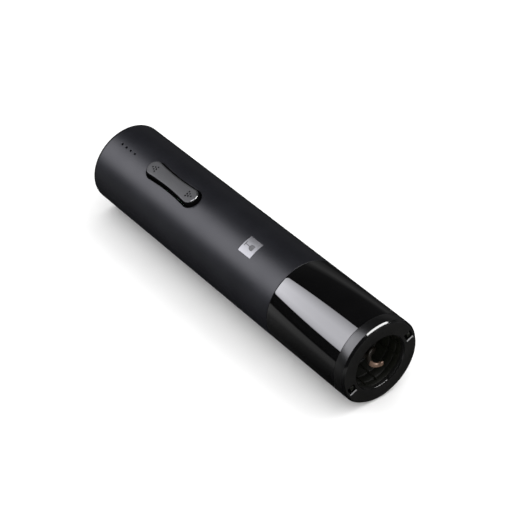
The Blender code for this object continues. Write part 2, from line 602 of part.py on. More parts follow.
def rocker():
    """The button, its pin and the bezel that carries the pin and lines the opening."""
    top = BUTTON_TOP - PIVOT_HEIGHT
    underside = BUTTON_UNDERSIDE - PIVOT_HEIGHT
    button = flat_solid("rocker_button", [button_outline(0)], underside, top, BUTTON_GREY, switch)
    edge = button.modifiers.new("edge", "BEVEL")
    edge.width = 0.4 * MM
    edge.limit_method = "ANGLE"
    edge.angle_limit = math.radians(60)
    boss = box("boss_tool", (-2, -3.2, -1.8), (2, 3.2, 1.5), parent=switch)
    combine(button, boss, "UNION")
    for i, side in enumerate((FOOT_OFFSET, -FOOT_OFFSET), 1):
        foot = box(f"foot_tool_{i}", (side - 1.2, -1.2, underside - 0.5), (side + 1.2, 1.2, 1.5), parent=switch)
        combine(button, foot, "UNION")
    bore = rod("pin_bore_cutter", 0.95, (0, -8, 0), (0, 8, 0), sides=12, parent=switch)
    combine(button, bore, "DIFFERENCE")
    rod("rocker_pin", 0.8, (0, -5.1, 0), (0, 5.1, 0), STEEL, sides=12, parent=switch)
    inner = button_outline(BUTTON_REVEAL)
    outer = button_outline(BUTTON_REVEAL + BEZEL_WALL)
    bezel = flat_solid("switch_bezel", [outer, inner], -1.3, 6, GLOSS_BLACK, switch)
    drum = turned("bezel_drum_tool", [
        (0, BUTTON_CENTRE - 30), (BODY_RADIUS - 0.4, BUTTON_CENTRE - 30),
        (BODY_RADIUS - 0.4, BUTTON_CENTRE + 30), (0, BUTTON_CENTRE + 30)], None)
    combine(bezel, drum, "INTERSECT")
    combine(bezel, bore, "DIFFERENCE")


mouth_collar()
bottle_guide()
window_tube()
housing_tube()
badge_plate()
rear_cap()
worm_drive()
gearbox()
motor()
chassis()
cells()
board()
leads()
rocker()
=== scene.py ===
"""Looks of a cordless electric wine opener, lying on its side with its mouth towards the camera."""
import json
import math

import bpy
from mathutils import Matrix, Vector


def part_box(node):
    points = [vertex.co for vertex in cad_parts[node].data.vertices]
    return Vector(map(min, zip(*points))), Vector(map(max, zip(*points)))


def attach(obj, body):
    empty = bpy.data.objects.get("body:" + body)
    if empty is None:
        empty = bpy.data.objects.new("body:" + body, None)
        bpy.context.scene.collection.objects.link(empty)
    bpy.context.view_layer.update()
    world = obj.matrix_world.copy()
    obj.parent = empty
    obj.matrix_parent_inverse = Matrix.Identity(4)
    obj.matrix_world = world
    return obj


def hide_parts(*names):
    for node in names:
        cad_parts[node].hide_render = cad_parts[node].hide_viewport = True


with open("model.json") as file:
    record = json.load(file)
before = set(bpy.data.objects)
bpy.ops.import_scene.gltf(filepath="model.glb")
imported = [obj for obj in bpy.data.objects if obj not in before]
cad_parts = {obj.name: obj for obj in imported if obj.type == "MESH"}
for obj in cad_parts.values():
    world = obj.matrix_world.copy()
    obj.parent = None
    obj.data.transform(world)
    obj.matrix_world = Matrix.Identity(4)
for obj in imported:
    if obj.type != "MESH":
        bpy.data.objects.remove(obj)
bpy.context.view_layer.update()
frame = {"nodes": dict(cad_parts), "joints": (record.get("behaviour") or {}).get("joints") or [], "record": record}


# ---- Body tube ----
# The long outer case is one moulded tube with a soft matt coat. It is cut through for the button and the four
# charge lights, and has a shallow seat for the badge. Its rear rim stands round the end cap, painted near
# black as shade.

MM = 0.001
ROUND = 192                                     # steps round the large turned pieces, then the small ones
SMALL_ROUND = 96
tube_low, tube_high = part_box("housing_tube")
BODY = (tube_high.y - tube_low.y) / 2 / MM      # outer radius in millimetres
MOUTH_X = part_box("mouth_collar")[1].x
AXIS_Z = BODY * MM
tilt = [joint for joint in frame["joints"] if joint["name"] == "rocker_tilt"][0]
PIVOT = Vector(tilt["pos_m"])
ROLL = math.atan2(tilt["axis"][2], tilt["axis"][1])
OUTWARD = Vector((0, -math.sin(ROLL), math.cos(ROLL)))
ACROSS = Vector((0, math.cos(ROLL), math.sin(ROLL)))
BUTTON_REACH = 16.6                             # from the pin to the middle of the button's round end
BUTTON_TURN = (ROLL, 0, 0)                      # x towards the mouth, y across, z out of the body
AXIS_TURN = Matrix((OUTWARD, ACROSS, (-1, 0, 0))).transposed().to_euler()   # x out, y across, z to the rear


def spot(along, height=0.0, side=0.0):
    """A place given by its distance from the mouth, height towards the button and offset across, in mm."""
    return Vector((MOUTH_X - along * MM, 0, AXIS_Z)) + (OUTWARD * height + ACROSS * side) * MM


def pick(piece):
    if bpy.context.mode != "OBJECT":
        bpy.ops.object.mode_set(mode="OBJECT")
    bpy.ops.object.select_all(action="DESELECT")
    piece.select_set(True)
    bpy.context.view_layer.objects.active = piece


def settle(piece, place, turn=(0, 0, 0)):
    """Put a shape that was drawn at the origin in its place, and leave its object at the origin."""
    pick(piece)
    piece.location = place
    piece.rotation_euler = turn
    bpy.ops.object.transform_apply(location=True, rotation=True, scale=True)


def turned(name, outline, steps=ROUND):
    """Draw a closed outline of (distance from the mouth, radius) and spin it round the opener's axis."""
    bpy.ops.object.select_all(action="DESELECT")
    bpy.ops.mesh.primitive_plane_add(size=MM)
    piece = bpy.context.object
    piece.name = name
    places = [Vector((MOUTH_X - along * MM, 0, AXIS_Z + radius * MM)) for along, radius in outline]
    bpy.ops.object.mode_set(mode="EDIT")
    bpy.ops.mesh.select_mode(type="VERT")
    bpy.ops.mesh.select_all(action="SELECT")
    bpy.ops.mesh.merge(type="CENTER")
    bpy.ops.transform.translate(value=places[0])
    for here, there in zip(places, places[1:] + places[:1]):
        bpy.ops.mesh.extrude_vertices_move(TRANSFORM_OT_translate={"value": there - here})
    bpy.ops.mesh.select_all(action="SELECT")
    bpy.ops.mesh.spin(steps=steps, angle=math.tau, center=(0, 0, AXIS_Z), axis=(1, 0, 0))
    bpy.ops.mesh.select_all(action="SELECT")
    bpy.ops.mesh.remove_doubles(threshold=0.000002)
    bpy.ops.mesh.select_all(action="SELECT")
    bpy.ops.mesh.normals_make_consistent(inside=False)
    bpy.ops.object.mode_set(mode="OBJECT")
    return piece


def stretch(start, end, step=2.0):
    """Points along a straight run of an outline, close enough together to take a clean cut later."""
    count = max(1, round(math.dist(start, end) / step))
    return [tuple(a + (b - a) * i / count for a, b in zip(start, end)) for i in range(count)]


def soften(piece, width, segments=2, angle=35):
    pick(piece)
    bevel = piece.modifiers.new("soft_edges", "BEVEL")
    bevel.width = width * MM
    bevel.segments = segments
    bevel.limit_method = "ANGLE"
    bevel.angle_limit = math.radians(angle)
    bpy.ops.object.modifier_apply(modifier=bevel.name)


def carve(piece, tool, operation="DIFFERENCE"):
    """Cut with another shape, join it on, or keep what both share. The other shape is then thrown away."""
    pick(piece)
    change = piece.modifiers.new("carve", "BOOLEAN")
    change.operation = operation
    change.object = tool
    change.material_mode = "TRANSFER"
    bpy.ops.object.modifier_apply(modifier=change.name)
    bpy.data.objects.remove(tool)


def ease(piece, wanted, width, segments=2):
    """Round over the sharp edges whose two ends both pass a test of their place."""
    pick(piece)
    bpy.ops.object.mode_set(mode="EDIT")
    bpy.ops.mesh.select_mode(type="EDGE")
    bpy.ops.mesh.select_all(action="DESELECT")
    bpy.ops.mesh.edges_select_sharp(sharpness=math.radians(50))
    bpy.ops.object.mode_set(mode="OBJECT")
    points = piece.data.vertices
    for edge in piece.data.edges:
        edge.select = edge.select and all(wanted(points[i].co) for i in edge.vertices)
    bpy.ops.object.mode_set(mode="EDIT")
    bpy.ops.mesh.bevel(offset=width * MM, segments=segments, affect="EDGES", clamp_overlap=True)
    bpy.ops.object.mode_set(mode="OBJECT")


def smooth(piece, angle=35):
    pick(piece)
    bpy.ops.object.shade_smooth_by_angle(angle=math.radians(angle))


def block(name, size, place, turn=(0, 0, 0)):
    bpy.ops.object.select_all(action="DESELECT")
    bpy.ops.mesh.primitive_cube_add(size=1)
    piece = bpy.context.object
    piece.name = name
    piece.scale = [value * MM for value in size]
    bpy.ops.object.transform_apply(location=False, rotation=False, scale=True)
    settle(piece, place, turn)
    return piece


def peg(name, radius, depth, place, turn=(0, 0, 0), sides=32):
    bpy.ops.object.select_all(action="DESELECT")
    bpy.ops.mesh.primitive_cylinder_add(vertices=sides, radius=radius * MM, depth=depth * MM)
    piece = bpy.context.object
    piece.name = name
    settle(piece, place, turn)
    return piece


def button_plan(name, grow, low, high):
    """The button's plan, a long shape with round ends and a drawn-in waist, raised from low to high and drawn
    as the button lies: x towards the mouth, y across, z outwards. Grow makes it larger all round."""
    end, waist, reach = 4.85, 4.0, BUTTON_REACH
    bpy.ops.object.select_all(action="DESELECT")
    bpy.ops.mesh.primitive_cylinder_add(vertices=96, radius=(end + grow) * MM, depth=(high - low) * MM)
    piece = bpy.context.object
    piece.name = name
    for point in piece.data.vertices:
        point.co.x += math.copysign(reach * MM, point.co.x)
        point.co.z += (high + low) / 2 * MM
    bpy.ops.object.mode_set(mode="EDIT")
    bpy.ops.mesh.select_mode(type="EDGE")
    bpy.ops.mesh.select_all(action="DESELECT")
    bpy.ops.object.mode_set(mode="OBJECT")
    for edge in piece.data.edges:
        ends = [piece.data.vertices[i].co.x for i in edge.vertices]
        edge.select = abs(ends[0] - ends[1]) > reach * MM
    bpy.ops.object.mode_set(mode="EDIT")
    bpy.ops.mesh.subdivide(number_cuts=23)
    bpy.ops.object.mode_set(mode="OBJECT")
    for point in piece.data.vertices:
        if abs(point.co.x) < reach * MM:
            point.co.y -= math.copysign((end - waist) * (1 - (point.co.x / reach / MM) ** 2) * MM, point.co.y)
    return piece


def texture(nodes, links, source, scale, detail):
    made = nodes.new("ShaderNodeTexNoise")
    made.inputs["Scale"].default_value = scale
    made.inputs["Detail"].default_value = detail
    links.new(source, made.inputs["Vector"])
    return made.outputs["Fac"]


def spread(nodes, links, source, low, high, target):
    """Send a texture to a socket as a value that wanders from low to high."""
    span = nodes.new("ShaderNodeMapRange")
    span.inputs["From Min"].default_value = 0.32
    span.inputs["From Max"].default_value = 0.68
    span.inputs["To Min"].default_value = low
    span.inputs["To Max"].default_value = high
    links.new(source, span.inputs["Value"])
    links.new(span.outputs["Result"], target)


def finish_of(name, dark, light, roughness, grain, depth, cloud=45.0, metallic=0.0, draw=(1, 1, 1),
              **constants):
    """A finish whose colour and roughness drift in soft clouds, over a fine raised grain. Draw stretches the
    grain for drawn or turned metal, and the constants are set straight on the shader."""
    made = bpy.data.materials.new(name)
    made.use_nodes = True
    nodes, links = made.node_tree.nodes, made.node_tree.links
    shader = nodes["Principled BSDF"]
    shader.inputs["Metallic"].default_value = metallic
    for socket, value in constants.items():
        shader.inputs[socket.replace("_", " ")].default_value = value
    where = nodes.new("ShaderNodeTexCoord").outputs["Object"]
    clouds = texture(nodes, links, where, cloud, 4)
    colours = nodes.new("ShaderNodeMix")
    colours.data_type = "RGBA"
    colour_ends = [socket for socket in colours.inputs if socket.type == "RGBA"]
    colour_ends[0].default_value = (*dark, 1)
    colour_ends[1].default_value = (*light, 1)
    spread(nodes, links, clouds, 0, 1, colours.inputs[0])
    links.new([socket for socket in colours.outputs if socket.type == "RGBA"][0], shader.inputs["Base Color"])
    spread(nodes, links, clouds, *roughness, shader.inputs["Roughness"])
    stretched = nodes.new("ShaderNodeMapping")
    stretched.inputs["Scale"].default_value = draw
    links.new(where, stretched.inputs["Vector"])
    bump = nodes.new("ShaderNodeBump")
    bump.inputs["Distance"].default_value = depth * MM
    links.new(texture(nodes, links, stretched.outputs["Vector"], grain, 2), bump.inputs["Height"])
    links.new(bump.outputs["Normal"], shader.inputs["Normal"])
    return made


def dress(piece, material, body="housing", node=None):
    """Give a piece its finish and the body it moves with, and hide the CAD node it stands for."""
    if not piece.data.materials:
        piece.data.materials.append(material)
    piece.data.materials[0] = material
    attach(piece, body)
    if node:
        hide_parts(node)


wall = 2.2
tube_front = 62.15
length = (MOUTH_X - tube_low.x) / MM
rim_start = length - 1.2
light_places = [length - 22.0 + 4.133 * step for step in range(4)]
body_tube = turned("body_tube", [
    *stretch((tube_front, BODY), (rim_start, BODY)), (rim_start, BODY), (length, BODY), (length, BODY - wall),
    (tube_front, BODY - wall)])
soften(body_tube, 0.3, 3)
bezel_inner, bezel_outer = 0.65, 1.25           # how far each side of the switch bezel stands off the button
opening = button_plan("opening_tool", bezel_outer + 0.15, -8, 8)
settle(opening, PIVOT, BUTTON_TURN)
carve(body_tube, opening)
for along in light_places:
    carve(body_tube, peg("light_tool", 0.72, 8, spot(along, BODY), BUTTON_TURN))
badge_middle, badge_side, badge_width = 93.35, -0.85, 10.2
seat = block("badge_tool", (badge_width + 0.3, badge_width + 0.3, 5), (0, 0, 0))
soften(seat, 0.35, 3)
settle(seat, spot(badge_middle, BODY + 1.4, badge_side), BUTTON_TURN)
carve(body_tube, seat)
ease(body_tube, lambda co: math.hypot(co.y, co.z - AXIS_Z) > (BODY - 0.02) * MM
     and spot(length - 3).x < co.x < spot(badge_middle - 8).x, 0.12)
smooth(body_tube, 28)
soft_touch = finish_of("soft_touch_black", (0.0047, 0.0050, 0.0074), (0.0062, 0.0066, 0.0094),
                       (0.385, 0.435), 2600, 0.010, Specular_IOR_Level=0.155)
rim_painted_shade = finish_of("rear_rim_painted_shade", (0.0010, 0.0010, 0.0011), (0.0018, 0.0018, 0.0019),
                     (0.6, 0.7), 2600, 0.004, Specular_IOR_Level=0.05)
body_tube.data.materials.clear()
body_tube.data.materials.append(soft_touch)
body_tube.data.materials.append(rim_painted_shade)
# The last 1.2 mm at the rear take the near-black rim finish: painted shade.
for face in body_tube.data.polygons:
    if face.center.x < spot(rim_start).x:
        face.material_index = 1
dress(body_tube, soft_touch, node="housing_tube")


# ---- Smoked window ----
# A clear smoked ring shows the cork on its way in. It is moulded with a thinner spigot at the rear, which is
# pushed into the body tube, and it is polished inside and out.

window_end = 61.9
window = turned("smoked_window", [
    (7.5, BODY), (window_end, BODY), (window_end, 22.0), (66.5, 22.0), (66.5, 20.6), (60, 20.6), (58, 23),
    (7.5, 23)])
soften(window, 0.12, 2)
smooth(window, 28)
smoked = finish_of("smoked_window", (0.0010, 0.0010, 0.0011), (0.0020, 0.0020, 0.0022),
                   (0.02, 0.035), 900, 0.0004, IOR=1.5)
dress(window, smoked, node="window_tube")


# ---- Mouth ring ----
# The front ring is satin black and carries a bright turned chamfer round its face. Two slots take the guide's
# latches. Their cut walls and floors are painted near black as shade. Each has a bright lip, painted pale
# grey as a highlight on the side that faces the button. A small notch is cut in the bore, on the side away
# from the button.

bore, bore_chamfer, face_edge, chamfer_end = 15.7, 0.5, 23.35, 1.47
slot_reach, slot_long, slot_wide, slot_deep, lip = 20.05, 5.0, 3.9, 4.0, 0.4
mouth_ring = turned("mouth_ring", [
    (7.4, BODY), (chamfer_end, BODY), (0, face_edge), (0, slot_reach), (0, bore + bore_chamfer),
    (bore_chamfer, bore), (2.4, bore), (2.4, 21.4), (12, 21.4), (12, 22.7), (7.4, 22.7)])
soften(mouth_ring, 0.12, 2, 30)
satin_black = finish_of("satin_black", (0.0062, 0.0062, 0.0059), (0.0084, 0.0084, 0.0080),
                        (0.36, 0.44), 3200, 0.004, Specular_IOR_Level=0.28)
satin_side = finish_of("satin_black_side", (0.0016, 0.0016, 0.0017), (0.0026, 0.0026, 0.0028),
                       (0.25, 0.31), 2600, 0.003, Specular_IOR_Level=0.27)
bright_edge = finish_of("polished_edge", (0.0016, 0.0016, 0.0017), (0.0026, 0.0026, 0.0028),
                        (0.08, 0.12), 900, 0.001)
slot_painted_shade = finish_of("slot_painted_shade", (0.0012, 0.0012, 0.0012), (0.0022, 0.0022, 0.0022),
                       (0.6, 0.7), 2400, 0.004, Specular_IOR_Level=0.05)
lip_painted_highlight = finish_of("lip_painted_highlight", (0.15, 0.15, 0.155), (0.22, 0.22, 0.225), (0.3, 0.4), 2400, 0.004)
mouth_ring.data.materials.append(satin_black)
mouth_ring.data.materials.append(bright_edge)
mouth_ring.data.materials.append(satin_side)
for face in mouth_ring.data.polygons:
    away = math.hypot(face.center.y, face.center.z - AXIS_Z) / MM
    if away > 23.4 and face.center.x > MOUTH_X - 1.4 * MM and 0.3 < face.normal.x < 0.9:
        face.material_index = 1
    elif away > 24.2:
        face.material_index = 2
    elif away < 16.3 and face.center.x > MOUTH_X - 0.6 * MM and 0.3 < face.normal.x < 0.9:
        face.material_index = 1
for hand in (1, -1):
    slot_tool = block("slot_tool", (slot_long, slot_wide, slot_deep), (0, 0, 0))
    soften(slot_tool, 0.5, 3)
    # The cut walls and floor of each slot take this near-black finish: painted shade.
    slot_tool.data.materials.append(slot_painted_shade)
    settle(slot_tool, spot(1.0, 0, hand * slot_reach), AXIS_TURN)
    carve(mouth_ring, slot_tool)
    lip_tool = block("lip_tool", (slot_long + 4 * lip, slot_wide + 4 * lip, 2 * lip), (0, 0, 0))
    for point in lip_tool.data.vertices:
        if point.co.z > 0:
            point.co.x *= slot_long / (slot_long + 4 * lip)
            point.co.y *= slot_wide / (slot_wide + 4 * lip)
    lip_tool.data.materials.append(bright_edge)
    settle(lip_tool, spot(0, 0, hand * slot_reach), AXIS_TURN)
    carve(mouth_ring, lip_tool)
notch_place = spot(0, -bore)
carve(mouth_ring, peg("notch_tool", 0.9, 8, notch_place, AXIS_TURN))
ease(mouth_ring, lambda co: co.x > MOUTH_X - 0.01 * MM and (co - notch_place).length < 1.0 * MM, 0.3, 1)
# Lip faces turned towards the button are painted pale grey: a painted highlight.
mouth_ring.data.materials.append(lip_painted_highlight)
for face in mouth_ring.data.polygons:
    away = math.hypot(face.center.y, face.center.z - AXIS_Z) / MM
    if 16.8 < away < 23.2 and 0.3 < face.normal.x < 0.9 and face.normal.dot(OUTWARD) > 0.5:
        face.material_index = len(mouth_ring.data.materials) - 1
smooth(mouth_ring, 28)
dress(mouth_ring, satin_black, node="mouth_collar")


# ---- Bottle guide ----
# A funnel behind the mouth ring centres the bottle's neck. It is one satin black moulding with grooves round
# its bore, thin ribs along it and a throat behind, and two latches hook it into the ring's slots.

guide = turned("bottle_guide", [
    (2.7, 15.9), (5.5, 15.8), (5.7, 16.2), (6.5, 16.2), (6.7, 15.75), (10.5, 15.62), (10.7, 16.0),
    (11.5, 16.0), (11.7, 15.58), (20, 15.3), (20, 13.3), (30, 13.3), (30, 14.9), (23.5, 14.9), (21.5, 17.3),
    (13.8, 17.3), (13.8, 22.7), (12.3, 22.7), (12.3, 17.3), (2.7, 17.3)])
soften(guide, 0.15, 2)
for hand in (1, -1):
    latch = block("latch_tool", (2.3, 2.2, 12.6), (0.4 * MM, 0.5 * MM, 0))
    soften(latch, 0.3, 3)
    settle(latch, spot(6.7, 0, hand * 20.0), AXIS_TURN)
    carve(guide, latch, "UNION")
rib_count, rib_slope = 12, math.radians(-2)
for step in range(rib_count):
    angle = math.tau * (step + 0.5) / rib_count
    rib = block("rib_tool", (0.9, 0.7, 15.6), (0, 0, 0))
    settle(rib, (0, 0, 0), (0, rib_slope, 0))
    settle(rib, (15.55 * MM, 0, 11.9 * MM))
    settle(rib, (0, 0, 0), (0, 0, angle))
    settle(rib, spot(0), AXIS_TURN)
    carve(guide, rib, "UNION")
smooth(guide, 28)
guide_black = finish_of("guide_black", (0.0056, 0.0061, 0.0042), (0.0086, 0.0093, 0.0064),
                        (0.36, 0.46), 1600, 0.006, Specular_IOR_Level=0.24)
dress(guide, guide_black, node="bottle_guide")


# ---- Seat ring ----
# A black rubber ring at the bottom of the funnel meets the rim of the bottle. It has a soft rounded lip.

seat_ring = turned("bottle_seat_ring", [
    (18.3, 13.8), (18.2, 14.2), (18.4, 14.6), (18.7, 15.0), (19.7, 15.0), (19.7, 13.6), (18.8, 13.6)])
soften(seat_ring, 0.1, 2, 25)
smooth(seat_ring, 60)
rubber = finish_of("black_rubber", (0.010, 0.010, 0.010), (0.016, 0.016, 0.0155), (0.6, 0.72), 1800, 0.03)
dress(seat_ring, rubber, node="bottle_seat_ring")


# ---- Worm ----
# The corkscrew is hardened steel wire wound in an open helix and dipped in a dark non-stick coating.
# Its front tapers to a point, and its first two millimetres are a lighter tan brown. The hub is moulded
# round its rear end.

worm_start, worm_end, start_turn = 1.9, 65.0, math.radians(174)
helix, wire_radius, pitch = 3.3, 1.35, 9.5
bpy.ops.object.select_all(action="DESELECT")
bpy.ops.mesh.primitive_circle_add(vertices=20, radius=wire_radius * MM, fill_type="NOTHING")
worm = bpy.context.object
worm.name = "worm"
settle(worm, (helix * MM, 0, 0), (math.pi / 2, 0, 0))
wind = worm.modifiers.new("wind", "SCREW")
turns = (worm_end - worm_start) / pitch
wind.angle = math.tau * turns
wind.screw_offset = (worm_end - worm_start) * MM
wind.steps = round(turns * 40)
wind.render_steps = wind.steps
wind.use_merge_vertices = False
pick(worm)
bpy.ops.object.modifier_apply(modifier=wind.name)
rim = [point.index for point in worm.data.vertices if point.co.z < 1.4 * MM and math.hypot(
    point.co.x - helix * MM, point.co.z) < wire_radius * 1.01 * MM and abs(point.co.y) < 0.001 * MM]
for point in worm.data.vertices:
    point.select = point.index in rim
bpy.ops.object.mode_set(mode="EDIT")
bpy.ops.mesh.select_mode(type="VERT")
bpy.ops.mesh.extrude_region_move(TRANSFORM_OT_translate={"value": (-0.1 * MM, -0.8 * MM, -0.25 * MM)})
bpy.ops.transform.resize(value=(0.8, 0.8, 0.8))
bpy.ops.mesh.extrude_region_move(TRANSFORM_OT_translate={"value": (-0.25 * MM, -0.9 * MM, -0.25 * MM)})
bpy.ops.transform.resize(value=(0.25, 0.25, 0.25))
bpy.ops.mesh.edge_face_add()
bpy.ops.mesh.select_all(action="DESELECT")
bpy.ops.mesh.select_non_manifold()
bpy.ops.mesh.edge_face_add()
bpy.ops.mesh.select_all(action="SELECT")
bpy.ops.mesh.normals_make_consistent(inside=False)
bpy.ops.object.mode_set(mode="OBJECT")
settle(worm, (0, 0, 0), (0, 0, start_turn))
settle(worm, spot(worm_start), AXIS_TURN)
smooth(worm, 45)
coated = finish_of("coated_worm_steel", (0.009, 0.0075, 0.006), (0.016, 0.013, 0.010),
                   (0.34, 0.44), 1500, 0.006, cloud=220, metallic=0.1, Specular_IOR_Level=0.12)
tan_tip = finish_of("tan_worm_tip", (0.085, 0.052, 0.036), (0.15, 0.094, 0.066),
                       (0.36, 0.46), 1500, 0.006, cloud=220, metallic=0.35, Specular_IOR_Level=0.3)
worm.data.materials.append(coated)
worm.data.materials.append(tan_tip)
tan_to = spot(3.9).x
# The wire's first two millimetres from the tip take the lighter tan brown finish.
for face in worm.data.polygons:
    if face.center.x > tan_to:
        face.material_index = 1
dress(worm, coated, body="worm_drive", node="worm")

worm_hub = turned("worm_hub", [
    (66, 3.4), (66, 5.2), (66.4, 5.6), (70.5, 6.3), (70.8, 6.1), (71.3, 6.1), (71.6, 6.5), (74.5, 7.0),
    (74.5, 3.05), (69.2, 3.05), (69.2, 0), (66.3, 0), (66.3, 3.0)], SMALL_ROUND)
soften(worm_hub, 0.12, 2, 30)
smooth(worm_hub, 40)
gloss_black = finish_of("gloss_black", (0.004, 0.004, 0.0045), (0.007, 0.007, 0.0075),
                        (0.06, 0.10), 900, 0.001)
dress(worm_hub, gloss_black, body="worm_drive", node="worm_hub")


# ---- Front bulkhead and seal ----
# A black plate closes the gearbox off from the bottle, and has stiffening rings on its front face. A sprung
# rubber lip round the shaft keeps wine and cork dust out.

bulkhead = turned("front_bulkhead", [
    (76.5, 6.3), (76.5, 10), (76.9, 10.4), (76.9, 12.6), (76.5, 13), (76.5, 17), (76.9, 17.4), (76.9, 19.6),
    (76.5, 20), (76.5, 22), (84, 22), (84, 20.5), (79, 20.5), (79, 9.5), (84, 9.5), (84, 6.3)])
soften(bulkhead, 0.12, 2, 30)
smooth(bulkhead, 28)
chassis_black = finish_of("chassis_black", (0.012, 0.012, 0.0125), (0.02, 0.02, 0.021),
                          (0.42, 0.55), 1400, 0.02)
dress(bulkhead, chassis_black, node="front_bulkhead")

shaft_seal = turned("shaft_seal", [
    (74.9, 3.6), (74.9, 6.6), (75.2, 6.9), (75.2, 7.7), (75.5, 8), (76.2, 8), (76.2, 3.8), (75.7, 3.1),
    (75.3, 3.1)], SMALL_ROUND)
soften(shaft_seal, 0.08, 2, 30)
smooth(shaft_seal, 50)
dress(shaft_seal, rubber, node="shaft_seal")


# ---- Rocker button ----
# One long grey button rocks on a pin across its middle. It is a single moulding with black sides and an edge
# worn bright at the mouth end. The near half of its rounded top edge is painted black, as shade. It has an
# arrowhead of raised dots at each end, a boss for the pin and a foot over each switch.

button_top, pin_hole = 6.15, 0.95
button = button_plan("rocker_button", 0, 0.1, button_top)
soften(button, 0.9, 6, 60)
boss = block("boss_tool", (4, 6.4, 3.3), (0, 0, -0.15 * MM))
soften(boss, 0.3, 2)
carve(button, boss, "UNION")
for hand in (1, -1):
    foot = block("foot_tool", (2.4, 2.4, 2.1), (hand * 15.5 * MM, 0, 0.65 * MM))
    soften(foot, 0.3, 2)
    carve(button, foot, "UNION")
carve(button, peg("bore_tool", pin_hole, 14, (0, 0, 0), (math.pi / 2, 0, 0)))
matt_grey = finish_of("matt_grey_button", (0.020, 0.0204, 0.0215), (0.026, 0.0264, 0.0275),
                      (0.44, 0.52), 2400, 0.010, Specular_IOR_Level=0.20)
black_and_painted_shade = finish_of("button_black_and_painted_shade", (0.002, 0.002, 0.0022), (0.003, 0.003, 0.0032),
                       (0.70, 0.80), 900, 0.001, Specular_IOR_Level=0.0)
dot_black = finish_of("dark_dots", (0.002, 0.002, 0.002), (0.003, 0.003, 0.003),
                      (0.7, 0.8), 2400, 0.005, Specular_IOR_Level=0.0)
worn_edge = finish_of("worn_button_edge", (0.020, 0.0205, 0.022), (0.026, 0.0265, 0.028),
                      (0.12, 0.18), 1800, 0.002, Specular_IOR_Level=1.0, Coat_Weight=0.8)
button.data.materials.clear()
for finish in (matt_grey, black_and_painted_shade, dot_black, worn_edge):
    button.data.materials.append(finish)
for face in button.data.polygons:
    if face.center.z < 4 * MM or face.normal.z < 0.2:
        face.material_index = 1
    elif face.normal.z < 0.99 and face.center.x > BUTTON_REACH * MM and face.center.y > -2.2 * MM:
        face.material_index = 3
    # The near half of the rounded top edge (y below zero) also takes the black: painted shade. The far half stays
    # grey.
    elif face.normal.z < 0.7 and face.center.y < 0:
        face.material_index = 1
dot_pitch, arrow_point = 1.6, 17.8
for hand in (1, -1):
    for row in range(3):
        for place in range(row + 1):
            along = hand * (arrow_point - row * dot_pitch)
            sideways = (place - row / 2) * dot_pitch
            dot = peg("dot_tool", 0.48, 0.5, (along * MM, sideways * MM, (button_top - 0.13) * MM), sides=20)
            dot.data.materials.append(dot_black)
            carve(button, dot, "UNION")
settle(button, PIVOT, BUTTON_TURN)
smooth(button, 32)
dress(button, matt_grey, body="rocker_button", node="rocker_button")


# ---- Switch bezel ----
# A black ring lines the opening in the body tube and carries the button's pin. Its top edge follows the curve
# of the tube, a little below the surface.

bezel_radius = BODY - 0.35
bezel = button_plan("switch_bezel", bezel_outer, -1.3, 6)
carve(bezel, button_plan("bezel_tool", bezel_inner, -3, 9))
settle(bezel, PIVOT, BUTTON_TURN)
carve(bezel, turned("drum_tool", [(130, 0), (130, bezel_radius), (200, bezel_radius), (200, 0)]), "INTERSECT")
carve(bezel, peg("pin_tool", pin_hole, 16, PIVOT, (math.pi / 2 + ROLL, 0, 0)))
smooth(bezel, 30)
dress(bezel, black_and_painted_shade, node="switch_bezel")


# ---- Charge lights ----
# A strip of dark clear plastic over four lamps on the board sends one short rod up into each hole of the body
# tube. Their rounded ends show as four small dark dots.

light_pipe = block("light_pipe", (15.7, 3.6, 1.4), (0, 0, 0))
soften(light_pipe, 0.25, 2)
settle(light_pipe, spot((light_places[0] - 2.2 + length - 8.5) / 2, 20.3), BUTTON_TURN)
for along in light_places:
    rod = peg("rod_tool", 0.55, 3.4, (0, 0, 0), sides=24)
    soften(rod, 0.3, 4)
    settle(rod, spot(along, BODY - 0.7 - 1.7), BUTTON_TURN)
    carve(light_pipe, rod, "UNION")
smooth(light_pipe, 40)
dark_clear = finish_of("dark_clear_plastic", (0.004, 0.004, 0.004), (0.007, 0.007, 0.007),
                       (0.12, 0.18), 1500, 0.001)
dress(light_pipe, dark_clear, node="light_pipe")


# ---- Badge ----
# A thin square of satin silver sits in its seat and follows the curve of the tube. A plain wine glass is
# pressed into it and filled with dark paint.

badge_top, badge_back = BODY - 0.08, BODY - 0.6
badge = block("badge_plate", (badge_width, badge_width, 5), (0, 0, 0))
soften(badge, 0.3, 3, 60)
settle(badge, spot(badge_middle, BODY - 1.5, badge_side), BUTTON_TURN)
shell = turned("shell_tool", [
    *stretch((80, badge_top), (106, badge_top)), (106, badge_top), (106, badge_back), (80, badge_back)])
carve(badge, shell, "INTERSECT")
silver = finish_of("satin_silver", (0.085, 0.085, 0.088), (0.115, 0.115, 0.118), (0.42, 0.50), 700, 0.003,
                   metallic=1.0, draw=(1, 9, 9))
dark_paint = finish_of("dark_paint", (0.010, 0.010, 0.011), (0.014, 0.014, 0.015), (0.4, 0.5), 2000, 0.004)
badge.data.materials.append(silver)
glass = peg("glass_tool", 1.75, 1.2, (1.6 * MM, 0, 0), sides=48)
glass.scale = (1.25, 1, 1)
settle(glass, (-0.4 * MM, 0, 0))
carve(glass, block("level_tool", (3, 6, 3), (4.3 * MM, 0, 0)))
carve(glass, block("stem_tool", (3.6, 0.5, 1.2), (-2.2 * MM, 0, 0)), "UNION")
carve(glass, block("base_tool", (0.5, 2.8, 1.2), (-3.9 * MM, 0, 0)), "UNION")
glass.data.materials.clear()
glass.data.materials.append(dark_paint)
settle(glass, spot(badge_middle, BODY + 0.32, badge_side), BUTTON_TURN)
carve(badge, glass)
smooth(badge, 28)
dress(badge, silver, node="badge_plate")


# ---- End cap ----
# The rear of the tube is closed by a satin black cap with a raised rim. It is cut through for the charging
# socket.

